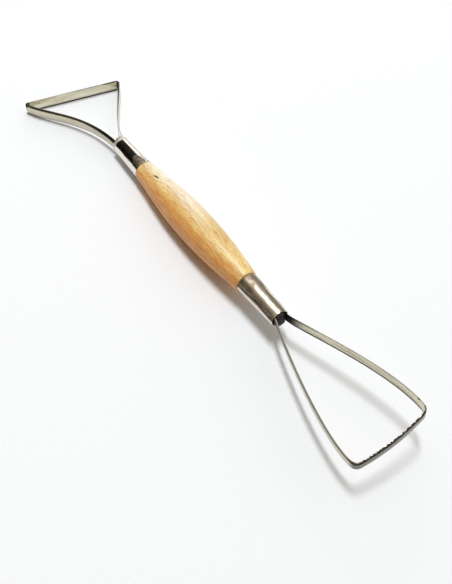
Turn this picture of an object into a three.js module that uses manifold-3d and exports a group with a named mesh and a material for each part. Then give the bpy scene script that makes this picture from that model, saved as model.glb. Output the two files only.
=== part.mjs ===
// Double-ended loop tool for trimming and hollowing clay: a turned beech grip, a tapered steel ferrule
// pressed over each end, and a loop bent from flat steel strip held in each ferrule by a wedge.
// Millimetres, +Z up. The tool is built along its own X axis, then laid on the bench.
import * as THREE from "three";
import { mergeVertices } from "three/addons/utils/BufferGeometryUtils.js";
import Module from "manifold-3d";

const wasm = await Module();
wasm.setup();

// Steel strip that both loops are bent from
const STRIP_WIDTH = 6.4;
const STRIP_THICKNESS = 0.8;
const STRIP_BEVEL = 0.75;
const STRIP_LAND = 0.35;

// Ferrules
const FERRULE_LENGTH = 25.8;
const FERRULE_RADIUS_AT_GRIP = 5.7;
const FERRULE_RADIUS_AT_MOUTH = 4.8;
const FERRULE_WALL = 0.45;
const FERRULE_EDGE_ROUND = 0.15;

// Grip
const GRIP_LENGTH = 93.5;
const GRIP_RADIUS = 9.5;
const GRIP_BELLY_OFFSET = 1;
const GRIP_SHOULDER_STEP = 0.3;
const GRIP_SHOULDER_ROUND = 0.7;
const GRIP_LONG_HALF = { slope: 8, bellyPull: 0.16, endPull: 0.53 };
const GRIP_WIDE_HALF = { slope: 0, bellyPull: 0.46, endPull: 0.19 };

// How the strip ends are held. The tenon stops short of the mouth, and the tangs short of the grip.
const FIT = 0.25;
const TENON_SETBACK = 7;
const TENON_CHAMFER = 0.6;
const TENON_LENGTH = FERRULE_LENGTH + FIT - TENON_SETBACK;
const TANG_SETBACK = 5;
const TANG_LENGTH = FERRULE_LENGTH - TANG_SETBACK;
const WEDGE_PROUD = 1.2;
const WEDGE_CHAMFER = 0.3;

// Each side of a loop runs from the ferrule's mouth to a corner. Reach is along the tool and spread
// across it. Angles are in degrees, away from the tool's axis. A pull is a share of the straight
// distance from mouth to corner, and sets how firmly the strip holds each end's direction.
const LONG_LOOP_FULL_SIDE = {
  reach: 75.6,
  spread: 19.35,
  mouthAngle: 20.5,
  mouthPull: 0.24,
  cornerAngle: -5.1,
  cornerPull: 0.226,
};
const LONG_LOOP_STRAIGHT_SIDE = {
  reach: 75,
  spread: 20.1,
  mouthAngle: 11.1,
  mouthPull: 0.134,
  cornerAngle: -3,
  cornerPull: 0.317,
};
const WIDE_LOOP_SHORT_SIDE = {
  reach: 46.4,
  spread: 26,
  mouthAngle: 6.6,
  mouthPull: 0.22,
  cornerAngle: 30,
  cornerPull: 0.35,
};
const WIDE_LOOP_LONG_SIDE = {
  reach: 58.7,
  spread: 29.4,
  mouthAngle: 5.5,
  mouthPull: 0.495,
  cornerAngle: 23.5,
  cornerPull: 0.26,
};
const LONG_LOOP = {
  roll: -8.5,
  cornerBend: 3.1,
  bow: 1.4,
  sides: [LONG_LOOP_FULL_SIDE, LONG_LOOP_STRAIGHT_SIDE],
};
const WIDE_LOOP = {
  roll: -16.8,
  cornerBend: 2.2,
  bow: 0,
  sides: [WIDE_LOOP_SHORT_SIDE, WIDE_LOOP_LONG_SIDE],
};
const MOUTH_BEND = 2;

// Fineness of the round surfaces
const TURNED_SEGMENTS = 60;
const GRIP_PROFILE_STEPS = 18;
const LEG_STEPS = 16;
const BEND_STEPS = 7;
const BOW_STEPS = 10;
const SETTLE_PASSES = 8;

const beech = new THREE.MeshStandardMaterial({ color: 0xd8a868, roughness: 0.5, metalness: 0 });
const platedSteel = new THREE.MeshStandardMaterial({ color: 0xb9b2a4, roughness: 0.22, metalness: 1 });
const springSteel = new THREE.MeshStandardMaterial({ color: 0xa8a291, roughness: 0.35, metalness: 1 });
const stainedWood = new THREE.MeshStandardMaterial({ color: 0x1d1915, roughness: 0.7, metalness: 0 });

const degrees = THREE.MathUtils.degToRad;
const point = (x, y) => new THREE.Vector2(x, y);

// Outer radius of a ferrule at a distance from the grip
function ferruleRadius(distance) {
  const share = distance / FERRULE_LENGTH;
  return THREE.MathUtils.lerp(FERRULE_RADIUS_AT_GRIP, FERRULE_RADIUS_AT_MOUTH, share);
}

const boreRadius = (distance) => ferruleRadius(distance) - FERRULE_WALL;

// The tangs stand as far apart as the lands at their rims can in the ferrule's mouth
const LAND_OFFSET = Math.sqrt((boreRadius(FERRULE_LENGTH) - FIT) ** 2 - (STRIP_WIDTH / 2) ** 2);
const TANG_OFFSET = LAND_OFFSET + STRIP_THICKNESS / 2 - STRIP_LAND;

// A turned solid whose axis is X, from a profile of points (place along X, radius)
function turned(profile) {
  const geometry = new THREE.LatheGeometry(
    profile.map((p) => point(p.y, p.x)),
    TURNED_SEGMENTS,
  );
  return geometry.rotateZ(-Math.PI / 2);
}

// A three.js geometry as a solid that can be joined and cut
function solid(geometry) {
  const bare = geometry.index ? geometry.toNonIndexed() : geometry.clone();
  bare.deleteAttribute("normal");
  bare.deleteAttribute("uv");
  const merged = mergeVertices(bare, 1e-4);
  return new wasm.Manifold(
    new wasm.Mesh({
      numProp: 3,
      vertProperties: merged.attributes.position.array,
      triVerts: new Uint32Array(merged.index.array),
    }),
  );
}

function geometryOf(body) {
  const mesh = body.getMesh();
  const geometry = new THREE.BufferGeometry();
  geometry.setAttribute("position", new THREE.BufferAttribute(mesh.vertProperties, mesh.numProp));
  geometry.setIndex(new THREE.BufferAttribute(mesh.triVerts, 1));
  geometry.computeVertexNormals();
  return geometry;
}

// A box between two corners
function block(low, high) {
  const size = high.clone().sub(low);
  const centre = low.clone().add(high).divideScalar(2);
  return new THREE.BoxGeometry(size.x, size.y, size.z).translate(centre.x, centre.y, centre.z);
}

// Half of the grip's barrel, from its belly to the shoulder at one end
function barrelHalf(end, shape) {
  const shoulder = point(end, FERRULE_RADIUS_AT_GRIP + GRIP_SHOULDER_STEP);
  const belly = point(GRIP_BELLY_OFFSET, GRIP_RADIUS);
  const length = end - GRIP_BELLY_OFFSET;
  const endPull = length * shape.endPull;
  const rise = Math.abs(endPull) * Math.tan(degrees(shape.slope));
  return new THREE.CubicBezierCurve(
    belly,
    point(belly.x + length * shape.bellyPull, GRIP_RADIUS),
    point(end - endPull, shoulder.y + rise),
    shoulder,
  );
}

// Points from the barrel's last place down over the rounded shoulder and along the tenon to the axis
function tenonEnd(end) {
  const out = Math.sign(end);
  const root = FERRULE_RADIUS_AT_GRIP + GRIP_SHOULDER_STEP;
  const tip = end + out * TENON_LENGTH;
  const round = new THREE.QuadraticBezierCurve(
    point(end - out * GRIP_SHOULDER_ROUND, root),
    point(end, root),
    point(end, root - GRIP_SHOULDER_ROUND),
  );
  return [
    ...round.getPoints(3).slice(1),
    point(end, boreRadius(0) - FIT),
    point(tip - out * TENON_CHAMFER, boreRadius(TENON_LENGTH - TENON_CHAMFER) - FIT),
    point(tip, boreRadius(TENON_LENGTH) - FIT - TENON_CHAMFER),
    point(tip, 0),
  ];
}

// The grip, turned in one piece with a tapered tenon at each end, and sawn across each tenon for the tangs
function grip() {
  const half = GRIP_LENGTH / 2;
  const inside = (p) => Math.abs(p.x) < half - GRIP_SHOULDER_ROUND;
  const toLongEnd = barrelHalf(half, GRIP_LONG_HALF).getPoints(GRIP_PROFILE_STEPS);
  const toWideEnd = barrelHalf(-half, GRIP_WIDE_HALF).getPoints(GRIP_PROFILE_STEPS);
  const profile = [
    ...tenonEnd(-half).reverse(),
    ...toWideEnd.reverse().filter(inside),
    ...toLongEnd.slice(1).filter(inside),
    ...tenonEnd(half),
  ];
  let body = solid(turned(profile));
  for (const [end, roll] of [[1, LONG_LOOP.roll], [-1, WIDE_LOOP.roll]]) {
    for (const side of [-1, 1]) {
      const kerf = tangKerf(side);
      kerf.applyMatrix4(endPlacement(end, roll));
      body = body.subtract(solid(kerf));
    }
  }
  return geometryOf(body);
}

// The saw cut that a tang lies in, in the frame of its own end
function tangKerf(side) {
  const centre = side * TANG_OFFSET;
  const halfWidth = STRIP_THICKNESS / 2 + FIT;
  const depth = TANG_LENGTH + FIT;
  return block(
    new THREE.Vector3(-depth, centre - halfWidth, -FERRULE_RADIUS_AT_GRIP),
    new THREE.Vector3(FERRULE_RADIUS_AT_GRIP, centre + halfWidth, FERRULE_RADIUS_AT_GRIP),
  );
}

// The frame of one end: origin at the middle of the ferrule's mouth, X outwards, rolled with its loop
function endPlacement(end, roll) {
  const mouth = end * (GRIP_LENGTH / 2 + FIT + FERRULE_LENGTH);
  const turn = new THREE.Matrix4().makeRotationZ(end > 0 ? 0 : Math.PI);
  const rolled = new THREE.Matrix4().makeRotationX(degrees(roll));
  return new THREE.Matrix4().makeTranslation(mouth, 0, 0).multiply(rolled).multiply(turn);
}

// A thin tapered tube with softened rims, its mouth at X = 0 and the grip on its -X side
function ferrule() {
  const edge = FERRULE_EDGE_ROUND;
  const outer = (distance) => point(distance - FERRULE_LENGTH, ferruleRadius(distance));
  const inner = (distance) => point(distance - FERRULE_LENGTH, boreRadius(distance));
  const rim = (distance, trim) => point(distance - FERRULE_LENGTH, ferruleRadius(distance) - trim);
  const profile = [
    inner(edge),
    rim(0, FERRULE_WALL - edge),
    rim(0, edge),
    outer(edge),
    outer(FERRULE_LENGTH - edge),
    rim(FERRULE_LENGTH, edge),
    rim(FERRULE_LENGTH, FERRULE_WALL - edge),
    inner(FERRULE_LENGTH - edge),
    inner(edge),
  ];
  return turned(profile);
}

// The part of a round plug that lies between the two tangs, from the tenon's end to just out of the mouth
function wedge() {
  const start = FIT - TENON_SETBACK;
  const halfThickness = TANG_OFFSET - STRIP_THICKNESS / 2 - FIT;
  const plugRadius = (x) => boreRadius(x + FERRULE_LENGTH) - FIT;
  const plug = turned([
    point(start, 0),
    point(start, plugRadius(start)),
    point(WEDGE_PROUD - WEDGE_CHAMFER, plugRadius(0)),
    point(WEDGE_PROUD, plugRadius(0) - WEDGE_CHAMFER),
    point(WEDGE_PROUD, 0),
  ]);
  const slab = block(
    new THREE.Vector3(start - FIT, -halfThickness, -FERRULE_RADIUS_AT_GRIP),
    new THREE.Vector3(WEDGE_PROUD + FIT, halfThickness, FERRULE_RADIUS_AT_GRIP),
  );
  return geometryOf(solid(plug).intersect(solid(slab)));
}

// A path made of several curves, with its own number of steps on each, so that bends are fine
// and straight runs are one step
class SteppedPath extends THREE.Curve {
  constructor(runs) {
    super();
    this.stations = runs.flatMap(([curve, steps]) =>
      Array.from({ length: steps }, (_, i) => [curve, i / steps]),
    );
    this.stations.push([runs.at(-1)[0], 1]);
  }

  get steps() {
    return this.stations.length - 1;
  }

  getPointAt(u, target = new THREE.Vector3()) {
    const [curve, t] = this.stations[Math.round(u * this.steps)];
    return target.copy(curve.getPoint(t));
  }

  getTangentAt(u, target = new THREE.Vector3()) {
    const [curve, t] = this.stations[Math.round(u * this.steps)];
    return target.copy(curve.getTangent(t));
  }
}

const flat = (p) => new THREE.Vector3(p.x, p.y, 0);
const line = (a, b) => new THREE.LineCurve3(flat(a), flat(b));
const bend = (a, corner, b) => new THREE.QuadraticBezierCurve3(flat(a), flat(corner), flat(b));

// One side of a loop, from the tang's end in the ferrule to where the corner's bend starts
function loopSide(side, handedness, cornerBend) {
  const heading = (angle) => point(Math.cos(degrees(angle)), handedness * Math.sin(degrees(angle)));
  const along = (from, direction, distance) => from.clone().addScaledVector(direction, distance);
  const mouth = point(0, handedness * TANG_OFFSET);
  const corner = point(side.reach, handedness * side.spread);
  const out = heading(side.mouthAngle);
  const into = heading(side.cornerAngle);
  const bendEnd = along(mouth, out, MOUTH_BEND);
  const cornerStart = along(corner, into, -cornerBend);
  const span = bendEnd.distanceTo(cornerStart);
  return {
    corner,
    cornerStart,
    tang: [mouth.clone().setX(-TANG_LENGTH), mouth.clone().setX(-MOUTH_BEND)],
    mouthBend: [mouth.clone().setX(-MOUTH_BEND), mouth, bendEnd],
    leg: [
      bendEnd,
      along(bendEnd, out, span * side.mouthPull),
      along(cornerStart, into, -span * side.cornerPull),
      cornerStart,
    ],
  };
}

// The whole centreline of a loop: tang, leg, corner, end edge, corner, leg, tang
function loopPath(loop) {
  const first = loopSide(loop.sides[0], -1, loop.cornerBend);
  const second = loopSide(loop.sides[1], 1, loop.cornerBend);
  const crown = first.corner.clone().add(second.corner).divideScalar(2);
  crown.x += 2 * loop.bow;
  const toCrown = (corner) => crown.clone().sub(corner).normalize();
  const edgeStart = first.corner.clone().addScaledVector(toCrown(first.corner), loop.cornerBend);
  const edgeEnd = second.corner.clone().addScaledVector(toCrown(second.corner), loop.cornerBend);
  const edge = loop.bow > 0 ? bend(edgeStart, crown, edgeEnd) : line(edgeStart, edgeEnd);
  const leg = (points) => new THREE.CubicBezierCurve3(...points.map(flat));
  return new SteppedPath([
    [line(...first.tang), 1],
    [bend(...first.mouthBend), BEND_STEPS],
    [leg(first.leg), LEG_STEPS],
    [bend(first.cornerStart, first.corner, edgeStart), BEND_STEPS],
    [edge, loop.bow > 0 ? BOW_STEPS : 1],
    [bend(edgeEnd, second.corner, second.cornerStart), BEND_STEPS],
    [leg(second.leg.toReversed()), LEG_STEPS],
    [bend(...second.mouthBend.toReversed()), BEND_STEPS],
    [line(...second.tang.toReversed()), 1],
  ]);
}

// The strip's section: both rims are ground on the outer face to a narrow land at the inner face
function stripSection() {
  const rim = STRIP_WIDTH / 2;
  const inner = STRIP_THICKNESS / 2;
  return new THREE.Shape([
    point(-rim, inner),
    point(-rim, inner - STRIP_LAND),
    point(STRIP_BEVEL - rim, -inner),
    point(rim - STRIP_BEVEL, -inner),
    point(rim, inner - STRIP_LAND),
    point(rim, inner),
  ]);
}

function ribbonLoop(loop) {
  const extrudePath = loopPath(loop);
  return new THREE.ExtrudeGeometry(stripSection(), { extrudePath, steps: extrudePath.steps });
}

function part(name, geometry, material) {
  const mesh = new THREE.Mesh(geometry, material);
  mesh.name = name;
  return mesh;
}

// A ferrule, its loop and the wedge between the tangs, as one end of the tool
function toolEnd(end, loop, names) {
  const group = new THREE.Group();
  group.applyMatrix4(endPlacement(end, loop.roll));
  group.add(part(names.ferrule, ferrule(), platedSteel));
  group.add(part(names.loop, ribbonLoop(loop), springSteel));
  group.add(part(names.wedge, wedge(), stainedWood));
  return group;
}

// The lowest point that a mesh has among the vertices that pass a test on their place in the mesh
function lowest(mesh, test) {
  const place = mesh.geometry.attributes.position;
  const best = new THREE.Vector3(0, 0, Infinity);
  const local = new THREE.Vector3();
  for (let i = 0; i < place.count; i += 1) {
    local.fromBufferAttribute(place, i);
    if (test(local)) {
      const world = mesh.localToWorld(local.clone());
      if (world.z < best.z) best.copy(world);
    }
  }
  return best;
}

// Lays the tool on the bench, as it comes to lie with both corners of its wide loop and its belly down
function layDown(tool, gripMesh, wideLoopMesh) {
  const up = new THREE.Vector3(0, 0, 1);
  for (let pass = 0; pass < SETTLE_PASSES; pass += 1) {
    tool.updateMatrixWorld(true);
    const belly = lowest(gripMesh, () => true);
    const corner = lowest(wideLoopMesh, (p) => p.y < 0 && p.x > 0);
    const otherCorner = lowest(wideLoopMesh, (p) => p.y > 0 && p.x > 0);
    const plane = new THREE.Plane().setFromCoplanarPoints(belly, corner, otherCorner);
    if (plane.normal.z < 0) plane.negate();
    tool.applyQuaternion(new THREE.Quaternion().setFromUnitVectors(plane.normal, up));
  }
  const axis = new THREE.Vector3(1, 0, 0).applyQuaternion(tool.quaternion);
  const square = new THREE.Quaternion().setFromAxisAngle(up, -Math.atan2(axis.y, axis.x));
  tool.applyQuaternion(square);
}

const tool = new THREE.Group();
const handle = part("handle", grip(), beech);
const longEnd = toolEnd(1, LONG_LOOP, {
  ferrule: "long_loop_ferrule",
  loop: "long_loop",
  wedge: "long_loop_wedge",
});
const wideEnd = toolEnd(-1, WIDE_LOOP, {
  ferrule: "wide_loop_ferrule",
  loop: "wide_loop",
  wedge: "wide_loop_wedge",
});
tool.add(handle, longEnd, wideEnd);
layDown(tool, handle, wideEnd.getObjectByName("wide_loop"));

// The origin is on the bench, under the middle of the tool's box
const onBench = new THREE.Group();
onBench.add(tool);
onBench.updateMatrixWorld(true);
const box = new THREE.Box3().setFromObject(onBench, true);
const middle = box.getCenter(new THREE.Vector3());
tool.position.sub(middle.setZ(box.min.z));

export default onBench;
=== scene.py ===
# %% [markdown]
# # A double-ended loop tool for clay
#
# The real tool has seven pieces: a turned beech grip, a tapered plated ferrule pressed over each end, a
# loop of flat steel strip at each end, and a dark wedge that packs each ferrule's mouth between the two
# strip ends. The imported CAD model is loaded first. It is the fixed frame, so each piece made here goes
# where the CAD says.

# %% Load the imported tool
import math

import bmesh
import bpy
from mathutils import Euler, Matrix, Vector, geometry


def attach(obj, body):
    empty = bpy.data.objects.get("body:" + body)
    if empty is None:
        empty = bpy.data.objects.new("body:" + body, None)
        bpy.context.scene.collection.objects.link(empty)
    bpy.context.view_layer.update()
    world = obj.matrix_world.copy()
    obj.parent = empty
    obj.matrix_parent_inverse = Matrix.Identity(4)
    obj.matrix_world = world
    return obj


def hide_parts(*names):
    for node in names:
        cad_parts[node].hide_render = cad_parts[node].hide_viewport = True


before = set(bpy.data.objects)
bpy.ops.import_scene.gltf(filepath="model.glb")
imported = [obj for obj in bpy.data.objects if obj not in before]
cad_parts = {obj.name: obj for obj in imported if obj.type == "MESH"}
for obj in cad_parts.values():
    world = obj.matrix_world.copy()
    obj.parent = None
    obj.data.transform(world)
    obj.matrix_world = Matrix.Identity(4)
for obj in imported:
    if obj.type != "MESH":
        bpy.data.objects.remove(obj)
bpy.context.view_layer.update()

MM = 0.001
print("CAD nodes:", ", ".join(sorted(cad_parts)))

# %% [markdown]
# ## The tool's own frame
#
# A tool that lies on a bench is tilted a little, and it is much easier to build along its own axis. This
# tool rests on the two corners of its wide loop and on its belly, so its axis climbs 3 degrees. One matrix
# carries shapes from the tool's frame, in millimetres, to the bench, in metres. Each end has a second
# matrix, with its origin in the middle of the ferrule's mouth and X pointing out of it, because the two
# loops were fitted a few degrees apart.

# %% Frames of the tool and of its two ends
AXIS_CLIMB = math.radians(2.9945)
AXIS_ROLL = math.radians(16.1345)
LONG_END_TWIST = math.radians(-8.5)
WIDE_END_TWIST = math.radians(-16.8)
TOOL_ORIGIN_MM = Vector((-9.2955, 1.7580, 9.7213))
GRIP_LENGTH = 93.5
FERRULE_LENGTH = 25.8
FIT = 0.25
MOUTH = GRIP_LENGTH / 2 + FIT + FERRULE_LENGTH

tool_frame = (
    Matrix.Scale(MM, 4)
    @ Matrix.Translation(TOOL_ORIGIN_MM)
    @ Matrix.Rotation(-AXIS_CLIMB, 4, "Y")
    @ Matrix.Rotation(AXIS_ROLL, 4, "X")
)
long_end = (
    tool_frame
    @ Matrix.Translation((MOUTH, 0, 0))
    @ Matrix.Rotation(LONG_END_TWIST, 4, "X")
)
wide_end = (
    tool_frame
    @ Matrix.Translation((-MOUTH, 0, 0))
    @ Matrix.Rotation(WIDE_END_TWIST, 4, "X")
    @ Matrix.Rotation(math.pi, 4, "Z")
)
print("long mouth at", [round(c, 4) for c in long_end.translation])
print("wide mouth at", [round(c, 4) for c in wide_end.translation])

# %% [markdown]
# ## The camera
#
# The photograph was taken from above the tool's right-hand front. Azimuth, elevation, a slight roll and the
# place of the lens are all that a camera needs, and nothing on the tool ever reads them.

# %% Camera
CAMERA_AZIMUTH = math.radians(53.638)
CAMERA_ELEVATION = math.radians(54.807)
CAMERA_ROLL = math.radians(1.858)
CAMERA_PLACE = Vector((0.206818, -0.135033, 0.311997))
FOCAL_PIXELS = 778.24
FRAME_HEIGHT_PIXELS = 584
SENSOR_MM = 36

lens = bpy.data.cameras.new("camera")
lens.sensor_width = SENSOR_MM
lens.lens = FOCAL_PIXELS * SENSOR_MM / FRAME_HEIGHT_PIXELS
lens.clip_start = 0.01
camera = bpy.data.objects.new("camera", lens)
turn = Euler((math.pi / 2 - CAMERA_ELEVATION, 0, CAMERA_AZIMUTH)).to_matrix()
turn = turn @ Matrix.Rotation(CAMERA_ROLL, 3, "Z")
camera.matrix_world = Matrix.Translation(CAMERA_PLACE) @ turn.to_4x4()
bpy.context.collection.objects.link(camera)
bpy.context.scene.camera = camera
print("lens", round(lens.lens, 2), "mm")

# %% [markdown]
# ## Small helpers for materials
#
# Colours are easiest to read as the hex values of a screen, so one function turns them into the linear
# values that a shader works in. Another adds a node to a tree, with its settings, its values and its links.
# Where a value is itself a node, its first output is linked. A pattern is described by its size in
# millimetres, and its mapping needs the inverse of that. A mask that fades between two places has them as
# its limits.

# %% Colour and node helpers
def linear(hex_colour):
    channels = [int(hex_colour[i : i + 2], 16) / 255 for i in (1, 3, 5)]
    return [c / 12.92 if c <= 0.04045 else ((c + 0.055) / 1.055) ** 2.4 for c in channels] + [1.0]


def per_mm(sizes):
    return [1 / size for size in sizes]


def limits(side, pair):
    return {side + " Min": pair[0], side + " Max": pair[1]}


def connect(tree, made, inputs):
    for key, value in inputs.items():
        if isinstance(value, bpy.types.Node):
            value = value.outputs[0]
        if isinstance(value, bpy.types.NodeSocket):
            tree.links.new(value, made.inputs[key])
        else:
            made.inputs[key].default_value = value


def node(tree, kind, inputs=None, stops=(), **settings):
    made = tree.nodes.new("ShaderNode" + kind)
    for key, value in settings.items():
        setattr(made, key, value)
    connect(tree, made, inputs or {})
    if stops:
        elements = made.color_ramp.elements
        elements[0].position, elements[1].position = stops[0][0], stops[-1][0]
        for place, _ in stops[1:-1]:
            elements.new(place)
        for element, (_, colour) in zip(elements, stops):
            element.color = linear(colour)
    return made


def new_material(name):
    made = bpy.data.materials.new(name)
    made.use_nodes = True
    tree = made.node_tree
    tree.nodes.clear()
    shader = node(tree, "BsdfPrincipled")
    node(tree, "OutputMaterial", {"Surface": shader})
    return made, tree, shader


print("screen grey #808080 is", round(linear("#808080")[0], 3), "in linear light")

# %% [markdown]
# ## Masks for the marks of use
#
# Two more helpers place stains and wear. A spot is a soft mask round a place on the piece: full near its
# middle, and gone a little beyond its reach. Masks are then multiplied, added or joined, one after another.

# %% Spots, and chains of masks
SPOT_FADE = (1.15, 0.75)


def spot(tree, stock, middle, reach, slant=0):
    placed = node(
        tree,
        "Mapping",
        {"Vector": stock, "Location": middle, "Rotation": (0, 0, math.radians(slant)), "Scale": reach},
        vector_type="TEXTURE",
    )
    away = node(tree, "VectorMath", {0: placed}, operation="LENGTH").outputs["Value"]
    return node(tree, "MapRange", {"Value": away, **limits("From", SPOT_FADE)})


def combine(tree, operation, first, *others):
    for other in others:
        first = node(tree, "Math", {0: first, 1: other}, operation=operation)
    return first


print("a spot is gone at", SPOT_FADE[0], "of its reach, and full at", SPOT_FADE[1])

# %% [markdown]
# ## Beech
#
# Beech is a pale golden hardwood. This barrel was cut across the edge of the log, so one side of it is pale
# sapwood, the other is a deeper gold, and the border between them wanders. The pale side is turned up
# towards the lamps and the deep gold away from them, so the same ramp also paints the barrel's light: a
# deeper orange as painted shade on its shaded side, and a cream painted highlight on its lit side towards
# the wide loop. The grain could be painted as a picture, but noise in the wood's own millimetres is solid:
# it runs through the barrel as the real grain does, and turns the corner at each end. Every piece gets its
# own millimetres as an attribute, stock, when it is finished further down. The first cell lays the ground
# colour.

# %% Beech: heartwood, sapwood and painted shading
PATCH_MM = (55.56, 11.76, 11.76)
PATCH_SHIFT = (3.1, 0.4, 0.2)
WANDER_MM = 1.2
BILLET_MM = 8
SAP_AND_LIGHT_SIDE = (0, 0.987, 0.158)
SAP_AND_HIGHLIGHT_DEPTH_MM = (1.2, 5.5)
SAP_AND_HIGHLIGHT_FADE_MM = (18, -8)

beech, tree, shader = new_material("beech")
stock = node(tree, "Attribute", attribute_name="stock").outputs["Vector"]
patch_map = node(tree, "Mapping", {"Vector": stock, "Scale": per_mm(PATCH_MM), "Location": PATCH_SHIFT})
patches = node(tree, "TexNoise", {"Vector": patch_map, "Scale": 1.0, "Detail": 3.0, "Roughness": 0.55})
wander = node(
    tree,
    "MapRange",
    {"Value": patches, **limits("From", (0.3, 0.7)), **limits("To", (-WANDER_MM, WANDER_MM))},
)
sap_and_light_side = node(tree, "VectorMath", {0: stock, 1: SAP_AND_LIGHT_SIDE}, operation="DOT_PRODUCT").outputs["Value"]
depth = combine(tree, "ADD", sap_and_light_side, wander)
billet = node(tree, "MapRange", {"Value": depth, **limits("From", (-BILLET_MM, BILLET_MM))})
# The ramp goes from deep orange to cream round the barrel: wood tone, with painted shade on the side away
# from the lamps and a painted highlight on the side towards them.
heartwood_and_shade = node(
    tree,
    "ValToRGB",
    {"Fac": billet},
    stops=[
        (0.0, "#F2B257"),
        (0.2, "#F7B966"),
        (0.4, "#FCCD82"),
        (0.5, "#FEE095"),
        (0.62, "#FBE9A8"),
        (1.0, "#E8DB9D"),
    ],
)
along = node(tree, "SeparateXYZ", {0: stock}).outputs["X"]
# The cream towards the wide loop is partly sapwood and partly a painted highlight on the lit side.
sap_and_highlight_start = node(tree, "MapRange", {"Value": depth, **limits("From", SAP_AND_HIGHLIGHT_DEPTH_MM)})
sap_and_highlight_run = node(tree, "MapRange", {"Value": along, **limits("From", SAP_AND_HIGHLIGHT_FADE_MM)})
sap_and_highlight = combine(tree, "MULTIPLY", sap_and_highlight_start, sap_and_highlight_run)
ground_colour = node(tree, "MixRGB", {"Fac": sap_and_highlight, "Color1": heartwood_and_shade, "Color2": linear("#FBFCEA")})
print("beech ground colour:", len(tree.nodes), "nodes")

# %% [markdown]
# Over that lie soft bands where the barrel crosses the growth rings, fine pores that run along the tool,
# and the short dark dashes of the rays, about 2 mm long. A wave texture has 20 radians of wave in each
# unit, which gives the scale for a ring spacing. Beech pores are only 0.1 mm wide, and are drawn wider so
# that they show.

# %% Beech: growth rings, pores and rays
RING_SPACING_MM = 3.2
WAVE_RADIANS = 20
RING_SCALE = math.tau / WAVE_RADIANS / RING_SPACING_MM
PITH_MM = (0, 31, 44)
SWAY_MM = (50, 8.33, 8.33)
PORE_MM = (33.33, 0.44, 0.44)
RAY_MM = (2.2, 0.44, 0.44)

sway_map = node(tree, "Mapping", {"Vector": stock, "Scale": per_mm(SWAY_MM)})
sway = node(tree, "TexNoise", {"Vector": sway_map, "Scale": 1.0, "Detail": 2.0}).outputs["Color"]
bent = node(tree, "MixRGB", {"Fac": 0.35, "Color1": stock, "Color2": sway}, blend_type="ADD")
round_pith = node(tree, "Mapping", {"Vector": bent, "Location": PITH_MM, "Scale": (0.05, 1, 1)})
rings = node(
    tree,
    "TexWave",
    {"Vector": round_pith, "Scale": RING_SCALE, "Distortion": 1.6, "Detail": 2.0},
    wave_type="RINGS",
    rings_direction="X",
).outputs["Fac"]
ringed = node(
    tree,
    "MixRGB",
    {"Fac": combine(tree, "MULTIPLY", rings, 0.3), "Color1": ground_colour, "Color2": linear("#E1B59C")},
    blend_type="MULTIPLY",
)

pore_map = node(tree, "Mapping", {"Vector": stock, "Scale": per_mm(PORE_MM)})
pores = node(tree, "TexNoise", {"Vector": pore_map, "Scale": 1.0, "Detail": 3.0, "Roughness": 0.75})
pore_shade = node(tree, "ValToRGB", {"Fac": pores}, stops=[(0.36, "#D2AC7E"), (0.6, "#FFFFFF")])
pored = node(tree, "MixRGB", {"Fac": 0.7, "Color1": ringed, "Color2": pore_shade}, blend_type="MULTIPLY")

ray_map = node(tree, "Mapping", {"Vector": stock, "Scale": per_mm(RAY_MM)})
rays = node(tree, "TexNoise", {"Vector": ray_map, "Scale": 1.0, "Detail": 0.0})
ray_mask = node(tree, "ValToRGB", {"Fac": rays}, stops=[(0.66, "#000000"), (0.72, "#FFFFFF")])
ray_share = combine(tree, "MULTIPLY", ray_mask, 0.4)
flecked = node(tree, "MixRGB", {"Fac": ray_share, "Color1": pored, "Color2": linear("#B47B3F")})
print("beech grain:", len(tree.nodes), "nodes")

# %% [markdown]
# Handling has left faint warm blushes, one small dark nick, and a satin skin of oil and wax with a little
# gloss over it. The pores give the skin its fine relief.

# %% Beech: blushes, the nick and the skin
BLUSH_MM = (4.5, 1.7, 1.7)
NICK_MIDDLE_MM = (-32.7, 1.2, 6.8)
NICK_REACH_MM = (2.2, 0.5, 1.5)
NICK_SLANT = 14

blush_map = node(tree, "Mapping", {"Vector": bent, "Scale": per_mm(BLUSH_MM)})
blushes = node(tree, "TexNoise", {"Vector": blush_map, "Scale": 1.0, "Detail": 3.0, "Roughness": 0.6})
blush = node(
    tree, "ValToRGB", {"Fac": blushes}, stops=[(0.36, "#FCFFEC"), (0.5, "#FFFCF6"), (0.68, "#FBCFA6")]
)
# Blushes are stronger away from the pale lit side, which adds to the painted shade there.
blush_share = node(tree, "MapRange", {"Value": sap_and_highlight, **limits("To", (0.7, 0.25))})
blushed = node(
    tree, "MixRGB", {"Fac": blush_share, "Color1": flecked, "Color2": blush}, blend_type="MULTIPLY"
)
nick = spot(tree, stock, NICK_MIDDLE_MM, NICK_REACH_MM, NICK_SLANT)
nicked = node(tree, "MixRGB", {"Fac": nick, "Color1": blushed, "Color2": linear("#4A2F1E")})
satin = node(tree, "MapRange", {"Value": patches, **limits("To", (0.3, 0.42))})
pore_relief = node(tree, "Bump", {"Height": pores, "Strength": 0.25, "Distance": 0.08 * MM})
connect(
    tree,
    shader,
    {
        "Base Color": nicked,
        "Roughness": satin,
        "IOR": 1.5,
        "Coat Weight": 0.08,
        "Coat Roughness": 0.3,
        "Normal": pore_relief,
    },
)
print("beech:", len(tree.nodes), "nodes")

# %% [markdown]
# ## Nickel plate
#
# The ferrules are drawn steel tube with a thin nickel plate, slightly yellow beside chrome. One has been
# rubbed bright. The other is dull with brown tarnish in soft blotches, darker towards the grip, where it is
# partly a painted reflection of the wood. Along one side of the dull ferrule lies a stripe of painted dark
# reflection, and beside it the tarnish is left off, so that the plate there gives a painted bright
# reflection of the floor. Two materials could be made, but one serves both ferrules: an attribute says how
# much of the tarnish has been rubbed away. The first cell lays the tarnish and the painted reflections.

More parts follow.
